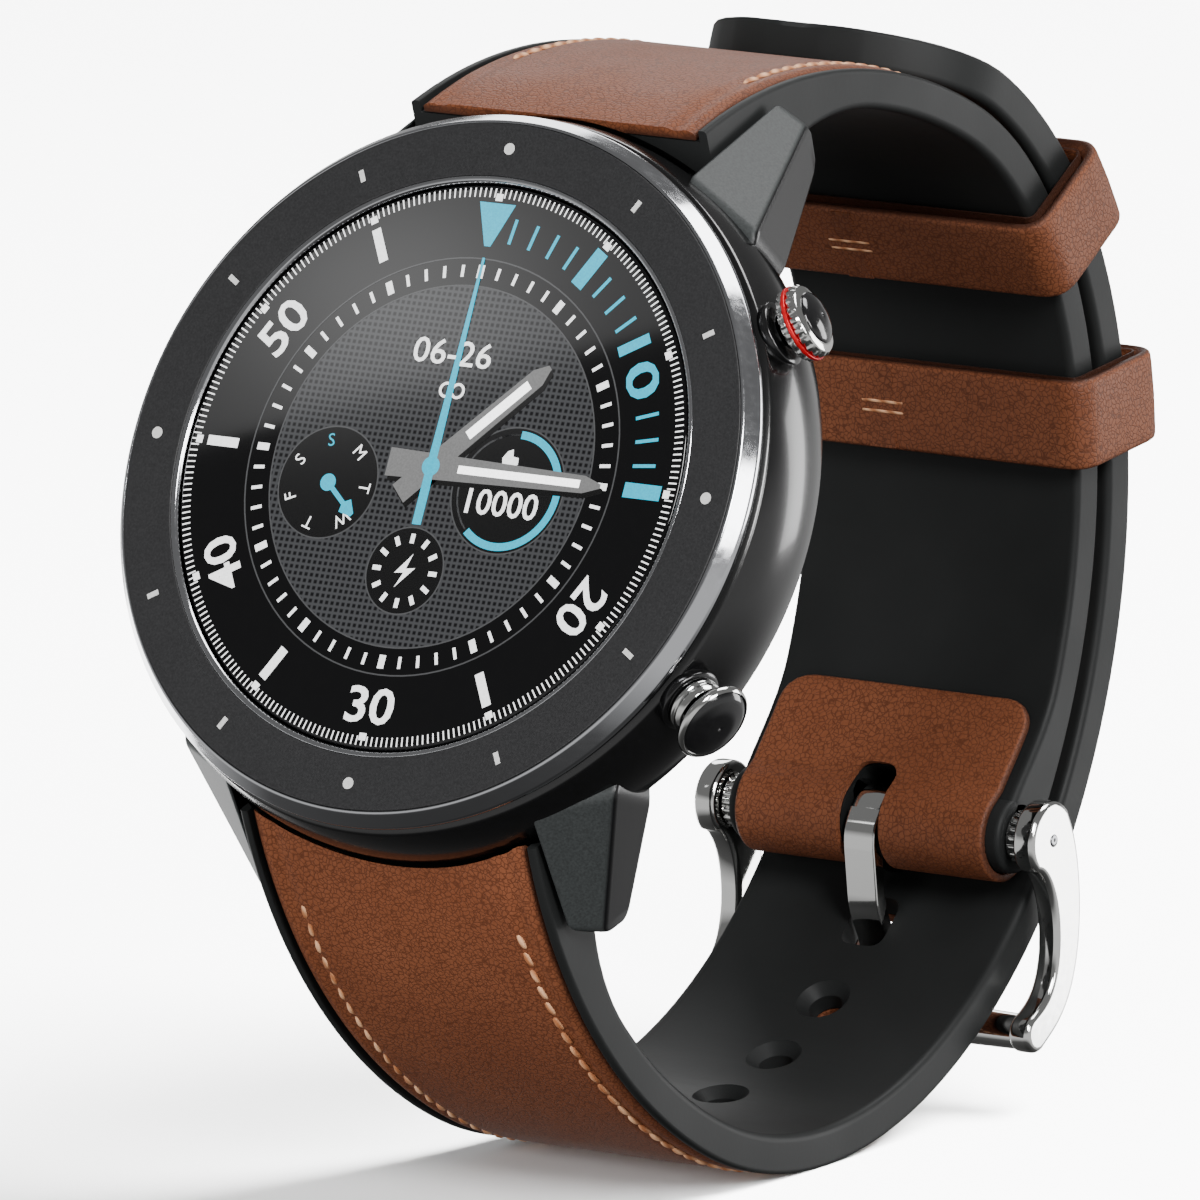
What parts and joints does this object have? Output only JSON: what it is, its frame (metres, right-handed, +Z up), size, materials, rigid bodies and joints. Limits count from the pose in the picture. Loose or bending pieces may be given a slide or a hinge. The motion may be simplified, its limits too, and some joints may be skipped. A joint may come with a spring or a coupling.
{
  "type": "smartwatch",
  "caption": "Round smartwatch with crown, pusher and display, on a leather-faced rubber strap closed by a pin buckle and two sliding keepers",
  "frame": {"origin": "centre of the strap loop, where the wrist goes (mount wrist)", "axes": "+X runs along the wrist towards the crown side (3 o'clock), +Y points back from the dial side through the loop, and +Z is up with the dial leaned back 25.4 degrees from upright"},
  "size_m": [0.0468, 0.0738, 0.0694],
  "materials": {
    "case_black": "gloss black coating, matte grey lugs",
    "bezel_grey": "matte, polished outer chamfer",
    "cover_glass": "clear, polished",
    "display": "dark display",
    "steel": "polished steel",
    "crown_red": "gloss red",
    "crown_cap_grey": "satin grey",
    "seal_rubber": "matte black",
    "strap_rubber": "matte black",
    "strap_leather": "brown grained leather",
    "inner_plastic": "matte black",
    "circuit_board": "green solder mask",
    "metal_can": "satin",
    "flex_amber": "amber film",
    "sensor_glass": "gloss black",
    "gold_pin": "gold plate"
  },
  "bodies": {
    "case": {"case_body": "case_black", "bezel_ring": "bezel_grey", "cover_glass": "cover_glass", "display_panel": "display", "pusher_collar": "steel", "buckle_bar": "steel", "lug_bar_top": "steel", "lug_bar_bottom": "steel", "back_screw_1": "steel", "back_screw_2": "steel", "back_screw_3": "steel", "back_screw_4": "steel", "crown_seal": "seal_rubber", "pusher_seal": "seal_rubber", "back_gasket": "seal_rubber", "glass_gasket": "seal_rubber", "buckle_strap_rubber": "strap_rubber", "tail_strap_rubber": "strap_rubber", "buckle_strap_leather": "strap_leather", "tail_strap_leather": "strap_leather", "buckle_wrap_leather": "strap_leather", "mid_frame": "inner_plastic", "speaker": "inner_plastic", "crown_switch": "inner_plastic", "pusher_switch": "inner_plastic", "case_back": "inner_plastic", "main_board": "circuit_board", "sensor_board": "circuit_board", "battery": "metal_can", "shield_can": "metal_can", "vibration_motor": "metal_can", "display_flex": "flex_amber", "sensor_window": "sensor_glass", "charge_pin_1": "gold_pin", "charge_pin_2": "gold_pin"},
    "crown_shaft": {"crown_plunger": "steel"},
    "crown": {"crown_knob": "steel", "crown_ring": "crown_red", "crown_cap": "crown_cap_grey", "crown_stem": "steel"},
    "pusher": {"pusher_cap": "steel", "pusher_stem": "steel"},
    "buckle_frame": {"buckle_frame": "steel"},
    "buckle_tang": {"buckle_tang": "steel"},
    "keeper_upper": {"keeper_upper": "strap_leather"},
    "keeper_lower": {"keeper_lower": "strap_leather"}
  },
  "joints": [
    {"name": "crown_press", "type": "slide", "parent": "case", "child": "crown_shaft", "axis": [-0.866, -0.2145, -0.4517], "range_m": [0, 0.0005], "stiffness_N_per_m": 4000},
    {"name": "crown_turn", "type": "hinge", "parent": "crown_shaft", "child": "crown", "pos_m": [0.02018, -0.02199, 0.02223], "axis": [0.866, 0.2145, 0.4517], "continuous": true},
    {"name": "pusher_press", "type": "slide", "parent": "case", "child": "pusher", "axis": [-0.866, 0.2145, 0.4517], "range_m": [0, 0.0005], "stiffness_N_per_m": 4000},
    {"name": "buckle_swing", "type": "hinge", "parent": "case", "child": "buckle_frame", "pos_m": [0, 0.01975, -0.01668], "axis": [1, 0, 0], "range_deg": [0, 115]},
    {"name": "tang_swing", "type": "hinge", "parent": "case", "child": "buckle_tang", "pos_m": [0, 0.01975, -0.01668], "axis": [1, 0, 0], "range_deg": [-2, 7]},
    {"name": "keeper_upper_slide", "type": "hinge", "parent": "case", "child": "keeper_upper", "pos_m": [0, 0.00222, 0.00767], "axis": [1, 0, 0], "range_deg": [-5, 14]},
    {"name": "keeper_lower_slide", "type": "hinge", "parent": "case", "child": "keeper_lower", "pos_m": [0, -0.00505, 0.00522], "axis": [1, 0, 0], "range_deg": [-14, 5]}
  ]
}
